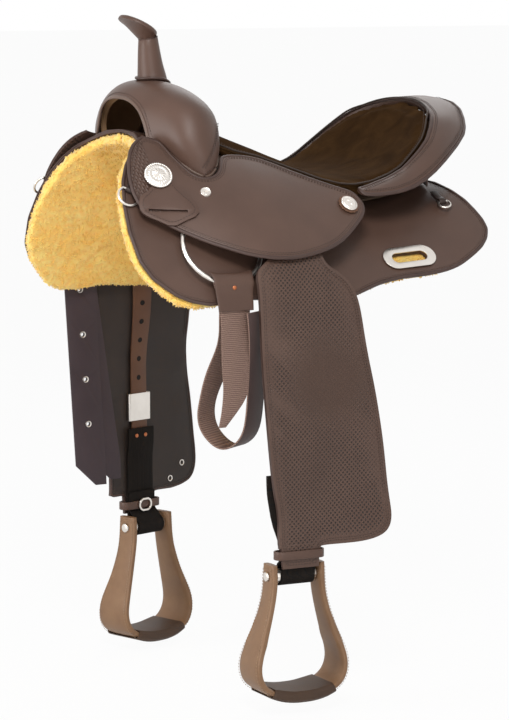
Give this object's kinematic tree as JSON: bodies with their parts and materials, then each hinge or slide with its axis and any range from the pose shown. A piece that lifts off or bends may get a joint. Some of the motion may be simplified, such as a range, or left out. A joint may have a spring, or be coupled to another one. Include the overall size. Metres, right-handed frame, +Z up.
{
  "type": "barrel racing saddle",
  "caption": "Western barrel racing saddle with deep seat, tall thin horn, swelled fork, fleece lined skirts, hanging fenders and bell stirrups.",
  "frame": {"origin": "on the centre plane, where the ridge of a saddle rack meets the lining between the fork and the seat", "axes": "-X to the horse's head, -Y to the near (left) side, +Z up"},
  "size_m": [0.5955, 0.536, 0.9169],
  "materials": {
    "smooth_leather": "smooth semi-matt brown",
    "stamped_leather": "brown with a fine punched grid",
    "binding": "purplish brown binding",
    "suede": "dark brown suede",
    "fleece": "golden fleece pile",
    "strap_brown": "brown strap leather",
    "billet_leather": "very dark purplish brown",
    "webbing": "ribbed light brown webbing",
    "sleeve_black": "black strap leather",
    "steel": "bright polished steel",
    "stirrup_brown": "brown moulded with lighter edges",
    "tread_rubber": "dark brown wrap",
    "tree_shell": "black moulded shell"
  },
  "bodies": {
    "saddle": {"fleece_left": "fleece", "skirt_left": "smooth_leather", "slot_plate_left": "steel", "tree_bar_left": "tree_shell", "jockey_left": "smooth_leather", "concho_keeper_left": "smooth_leather", "front_concho_left": "steel", "rear_rosette_left": "strap_brown", "rear_concho_left": "steel", "front_tab_left": "binding", "rear_tab_left": "billet_leather", "rigging_ring_left": "steel", "rigging_strap_left": "billet_leather", "fleece_right": "fleece", "skirt_right": "smooth_leather", "slot_plate_right": "steel", "tree_bar_right": "tree_shell", "jockey_right": "smooth_leather", "concho_keeper_right": "smooth_leather", "front_concho_right": "steel", "rear_rosette_right": "strap_brown", "rear_concho_right": "steel", "front_tab_right": "binding", "rear_tab_right": "billet_leather", "rigging_ring_right": "steel", "rigging_strap_right": "billet_leather", "fork_cover": "smooth_leather", "tree_fork": "tree_shell", "horn_neck": "smooth_leather", "horn_cap": "smooth_leather", "seat_pad": "suede", "ground_seat": "tree_shell", "cantle_roll": "smooth_leather", "tree_cantle": "tree_shell", "cantle_back": "smooth_leather"},
    "fender_swing_left": {"fender_left": "stamped_leather", "stirrup_leather_left": "strap_brown", "leather_sleeve_left": "sleeve_black", "hobble_strap_left": "billet_leather", "hobble_buckle_left": "steel"},
    "stirrup_left": {"stirrup_left": "stirrup_brown", "tread_left": "tread_rubber", "stirrup_bolt_left": "steel"},
    "leather_keeper_left": {"leather_keeper_left": "steel"},
    "front_dee_left": {"front_dee_left": "steel"},
    "rear_ring_left": {"rear_ring_left": "steel"},
    "fender_swing_right": {"fender_right": "stamped_leather", "stirrup_leather_right": "strap_brown", "leather_sleeve_right": "sleeve_black", "hobble_strap_right": "billet_leather", "hobble_buckle_right": "steel"},
    "stirrup_right": {"stirrup_right": "stirrup_brown", "tread_right": "tread_rubber", "stirrup_bolt_right": "steel"},
    "leather_keeper_right": {"leather_keeper_right": "steel"},
    "front_dee_right": {"front_dee_right": "steel"},
    "rear_ring_right": {"rear_ring_right": "steel"},
    "tie_strap": {"tie_strap": "webbing", "tie_keeper": "smooth_leather"},
    "off_billet": {"off_billet": "billet_leather"}
  },
  "joints": [
    {"name": "fender_swing_left", "type": "hinge", "parent": "saddle", "child": "fender_swing_left", "pos_m": [-0.0949, -0.13, 0.02], "axis": [0, 1, 0], "range_deg": [-10, 3]},
    {"name": "stirrup_pivot_left", "type": "hinge", "parent": "fender_swing_left", "child": "stirrup_left", "pos_m": [-0.10423, -0.21279, -0.484], "axis": [0.9976, -0.0698, 0], "range_deg": [-40, 40]},
    {"name": "leather_keeper_slide_left", "type": "slide", "parent": "fender_swing_left", "child": "leather_keeper_left", "axis": [0, 0, 1], "range_m": [0, 0.03]},
    {"name": "front_dee_lift_left", "type": "hinge", "parent": "saddle", "child": "front_dee_left", "pos_m": [-0.29812, -0.1185, 0.03041], "axis": [-0.7868, 0.3748, 0.4905], "range_deg": [0, 7]},
    {"name": "rear_ring_lift_left", "type": "hinge", "parent": "saddle", "child": "rear_ring_left", "pos_m": [0.18452, -0.13325, -0.00021], "axis": [-0.981, 0.0888, -0.1726], "range_deg": [0, 25]},
    {"name": "fender_swing_right", "type": "hinge", "parent": "saddle", "child": "fender_swing_right", "pos_m": [-0.0846, 0.13, 0.02], "axis": [0, 1, 0], "range_deg": [-10, 3]},
    {"name": "stirrup_pivot_right", "type": "hinge", "parent": "fender_swing_right", "child": "stirrup_right", "pos_m": [-0.08221, 0.23563, -0.489], "axis": [0.9659, 0.2588, 0], "range_deg": [-40, 40]},
    {"name": "leather_keeper_slide_right", "type": "slide", "parent": "fender_swing_right", "child": "leather_keeper_right", "axis": [0, 0, 1], "range_m": [0, 0.03]},
    {"name": "front_dee_lift_right", "type": "hinge", "parent": "saddle", "child": "front_dee_right", "pos_m": [-0.29812, 0.1185, 0.03041], "axis": [0.7868, 0.3748, -0.4905], "range_deg": [0, 7]},
    {"name": "rear_ring_lift_right", "type": "hinge", "parent": "saddle", "child": "rear_ring_right", "pos_m": [0.18452, 0.13325, -0.00021], "axis": [0.981, 0.0888, 0.1726], "range_deg": [0, 25]},
    {"name": "tie_strap_swing", "type": "hinge", "parent": "saddle", "child": "tie_strap", "pos_m": [-0.19806, -0.1827, -0.04197], "axis": [0.0718, 0.8343, -0.5467], "range_deg": [0, 20]},
    {"name": "off_billet_swing", "type": "hinge", "parent": "saddle", "child": "off_billet", "pos_m": [-0.19806, 0.1827, -0.04197], "axis": [-0.0718, 0.8343, 0.5467], "range_deg": [0, 20]}
  ]
}
